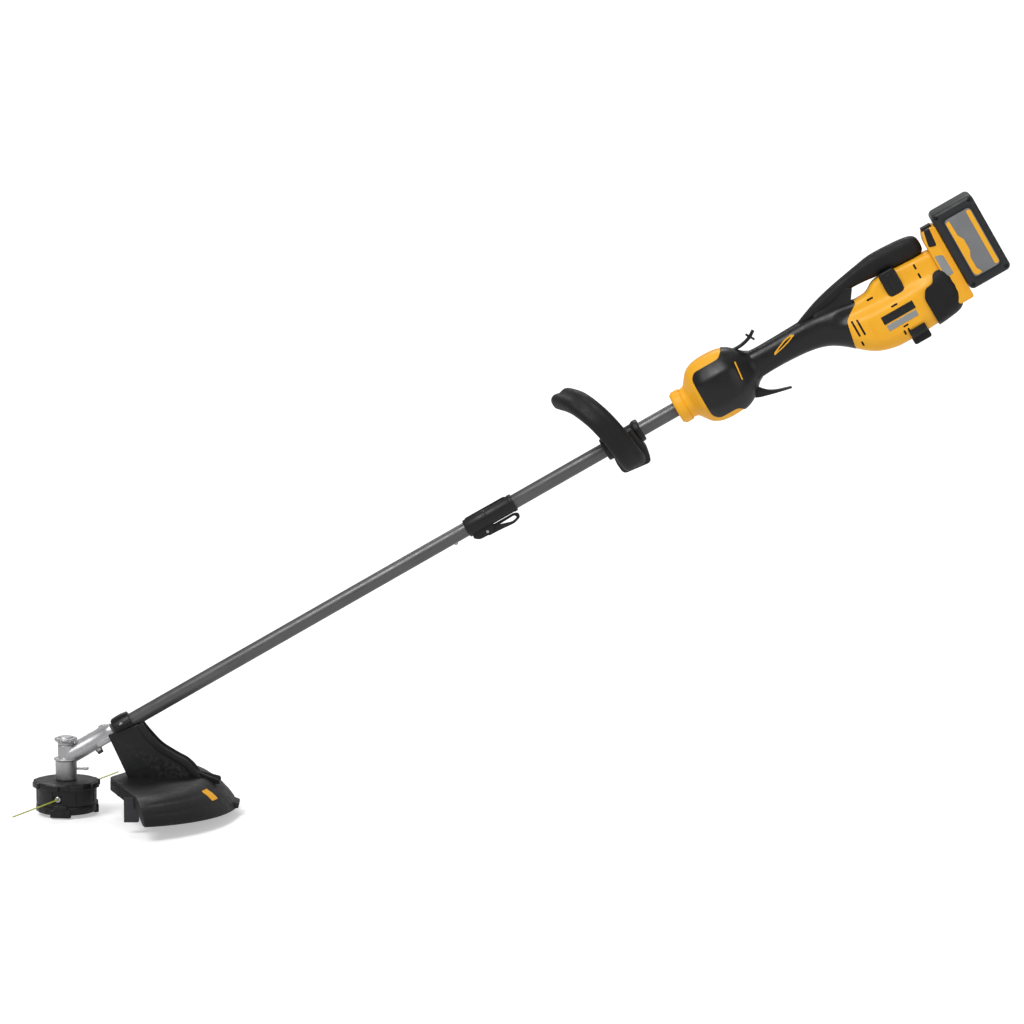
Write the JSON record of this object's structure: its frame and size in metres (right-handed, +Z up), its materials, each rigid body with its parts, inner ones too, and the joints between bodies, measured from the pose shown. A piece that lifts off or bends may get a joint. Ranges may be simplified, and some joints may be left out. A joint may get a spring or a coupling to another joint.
{
  "type": "string trimmer",
  "caption": "Battery string trimmer: bump-feed line head and guard on a cranked gear case, straight split shaft, front handle, motor housing, rear housing with a loop grip, slide-on battery.",
  "frame": {"origin": "centre of the bump knob's flat bottom, on the cutting head's axis", "axes": "+Z up along the cutting head's axis; +X towards the user and the battery, along the ground; the shaft climbs at 30 degrees in the XZ plane; -Y is the user's left side"},
  "size_m": [1.7014, 0.4719, 1.0811],
  "materials": {
    "yellow_plastic": "satin moulded housing",
    "black_plastic": "textured moulded black",
    "soft_grip": "overmoulded soft grip",
    "dark_grey_plastic": "textured battery housing",
    "cast_alloy": "die-cast, satin",
    "painted_tube": "grey satin tube",
    "steel": "machined steel",
    "winding": "wound core",
    "nylon_line": "yellow-green nylon",
    "circuit_board": "potted board",
    "cell_pack": "wrapped cells"
  },
  "bodies": {
    "power_head": {"upper_tube": "painted_tube", "coupler_sleeve": "black_plastic", "coupler_pin": "steel", "motor_mount": "cast_alloy", "stator": "winding", "motor_shell_left": "yellow_plastic", "motor_shell_right": "yellow_plastic", "side_panel_left": "black_plastic", "side_panel_right": "black_plastic", "neck_shell_left": "black_plastic", "neck_shell_right": "black_plastic", "housing_left": "yellow_plastic", "housing_right": "yellow_plastic", "loop_grip": "soft_grip", "rear_bumper": "soft_grip", "foot_bumper": "soft_grip", "control_board": "circuit_board", "battery_receiver": "yellow_plastic"},
    "attachment": {"lower_tube": "painted_tube", "shaft_bush": "black_plastic", "gear_case": "cast_alloy", "gear_case_cap": "cast_alloy", "gear_case_bolt": "steel", "arm_screw": "steel", "pinion_bearing": "steel", "output_bearing": "steel", "guard": "black_plastic", "guard_clamp": "black_plastic", "guard_screw_near": "steel", "guard_screw_far": "steel", "line_cutter": "steel"},
    "button": {"locating_button": "steel"},
    "spindle_lock": {"spindle_lock": "cast_alloy"},
    "lower_drive": {"lower_drive_shaft": "steel", "bevel_pinion": "steel"},
    "cutting_head": {"output_shaft": "steel", "bevel_gear": "steel", "head_housing": "black_plastic", "head_cover": "black_plastic", "eyelet_near": "steel", "eyelet_far": "steel", "trim_line_near": "nylon_line", "trim_line_far": "nylon_line", "bump_spring": "steel"},
    "spool_lift": {"thrust_washer": "steel"},
    "spool": {"spool": "yellow_plastic", "wound_line": "nylon_line", "bump_knob": "black_plastic"},
    "drive": {"rotor": "steel", "upper_drive_shaft": "steel"},
    "coupler_lever": {"coupler_lever": "black_plastic"},
    "trigger": {"trigger": "black_plastic"},
    "lock_off_lever": {"lock_off_lever": "black_plastic"},
    "speed_paddle": {"speed_paddle": "black_plastic"},
    "front_handle": {"front_handle": "soft_grip", "handle_clamp": "black_plastic"},
    "battery": {"battery_case": "dark_grey_plastic", "battery_cover": "dark_grey_plastic", "battery_cells": "cell_pack"},
    "battery_latch": {"battery_latch": "black_plastic"}
  },
  "joints": [
    {"name": "attachment_slide", "type": "slide", "parent": "power_head", "child": "attachment", "axis": [-0.866, 0, -0.5], "range_m": [0, 0.045]},
    {"name": "button_press", "type": "slide", "parent": "attachment", "child": "button", "axis": [-0.5, 0, 0.866], "range_m": [0, 0.0025], "stiffness_N_per_m": 1500, "springref_m": -0.002},
    {"name": "spindle_lock_press", "type": "slide", "parent": "attachment", "child": "spindle_lock", "axis": [-1, 0, 0], "range_m": [0, 0.004], "stiffness_N_per_m": 1200, "springref_m": -0.002},
    {"name": "lower_shaft_spin", "type": "hinge", "parent": "attachment", "child": "lower_drive", "pos_m": [0, 0, 0.098], "axis": [0.866, 0, 0.5], "continuous": true},
    {"name": "head_spin", "type": "hinge", "parent": "attachment", "child": "cutting_head", "pos_m": [0, 0, 0], "axis": [0, 0, 1], "continuous": true},
    {"name": "bump_slide", "type": "slide", "parent": "cutting_head", "child": "spool_lift", "axis": [0, 0, 1], "range_m": [0, 0.005], "stiffness_N_per_m": 1500, "springref_m": -0.004, "deforming": ["bump_spring"]},
    {"name": "spool_turn", "type": "hinge", "parent": "spool_lift", "child": "spool", "pos_m": [0, 0, 0], "axis": [0, 0, 1], "continuous": true},
    {"name": "drive_spin", "type": "hinge", "parent": "power_head", "child": "drive", "pos_m": [0, 0, 0.098], "axis": [0.866, 0, 0.5], "continuous": true},
    {"name": "coupler_lever_swing", "type": "hinge", "parent": "power_head", "child": "coupler_lever", "pos_m": [0.73103, 0, 0.49581], "axis": [0, 1, 0], "range_deg": [0, 70]},
    {"name": "trigger_pull", "type": "hinge", "parent": "power_head", "child": "trigger", "pos_m": [1.19137, 0, 0.73849], "axis": [0, -1, 0], "range_deg": [0, 14], "stiffness_Nm_per_rad": 1, "springref_deg": -8.59},
    {"name": "lock_off_press", "type": "hinge", "parent": "power_head", "child": "lock_off_lever", "pos_m": [1.1469, 0, 0.80751], "axis": [0, 1, 0], "range_deg": [0, 10], "stiffness_Nm_per_rad": 1, "springref_deg": -8.59},
    {"name": "speed_paddle_rock", "type": "hinge", "parent": "power_head", "child": "speed_paddle", "pos_m": [1.41198, 0, 0.94438], "axis": [0, 1, 0], "range_deg": [-5, 5]},
    {"name": "front_handle_slide", "type": "slide", "parent": "power_head", "child": "front_handle", "axis": [0.866, 0, 0.5], "range_m": [-0.12, 0.06]},
    {"name": "battery_slide", "type": "slide", "parent": "power_head", "child": "battery", "axis": [-0.5, 0, 0.866], "range_m": [0, 0.11]},
    {"name": "battery_latch_press", "type": "slide", "parent": "power_head", "child": "battery_latch", "axis": [0.5, 0, -0.866], "range_m": [0, 0.003], "stiffness_N_per_m": 1500, "springref_m": -0.002}
  ],
  "couplings": [
    {"joint": "lower_shaft_spin", "follows": "head_spin", "ratio": -1.5},
    {"joint": "drive_spin", "follows": "head_spin", "ratio": -1.5}
  ]
}
